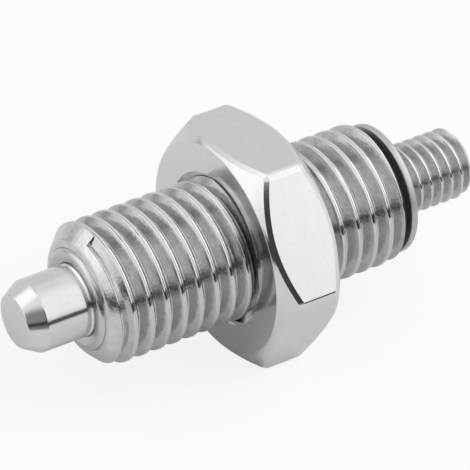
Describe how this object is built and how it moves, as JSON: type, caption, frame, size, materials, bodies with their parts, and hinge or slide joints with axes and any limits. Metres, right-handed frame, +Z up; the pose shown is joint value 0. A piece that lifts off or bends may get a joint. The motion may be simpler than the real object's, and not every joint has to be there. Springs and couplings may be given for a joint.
{
  "type": "index plunger",
  "caption": "Spring-loaded index plunger with a threaded sleeve, thin hexagon locknut, tapered locking pin and a threaded pull stud.",
  "frame": {"origin": "on the plunger's axis, in the plane of the locknut's seating face", "axes": "+X along the axis towards the pull stud, the locking pin points to -X; +Z up, with one flat of the locknut facing -Z, as the plunger lies on a table; +Y completes the right-handed frame"},
  "size_m": [0.0417, 0.0212, 0.0186],
  "materials": {
    "sleeve_steel": "rolled and turned stainless steel, satin",
    "bush_steel": "turned stainless steel, satin",
    "pin_steel": "ground stainless steel, fine",
    "spring_steel": "drawn stainless spring wire",
    "stud_steel": "turned stainless steel, satin",
    "nut_steel": "tumbled bright stainless steel"
  },
  "bodies": {
    "sleeve": {"threaded_sleeve": "sleeve_steel", "guide_bush": "bush_steel", "return_spring": "spring_steel"},
    "plunger": {"locking_pin": "pin_steel", "pull_stud": "stud_steel"},
    "locknut": {"locknut": "nut_steel"}
  },
  "joints": [
    {"name": "plunger_slide", "type": "slide", "parent": "sleeve", "child": "plunger", "axis": [1, 0, 0], "range_m": [0, 0.006], "stiffness_N_per_m": 1450, "springref_m": -0.0041, "deforming": ["return_spring"]},
    {"name": "locknut_turn", "type": "hinge", "parent": "sleeve", "child": "locknut", "pos_m": [0, 0, 0], "axis": [1, 0, 0], "range_deg": [-2880, 1800]}
  ]
}
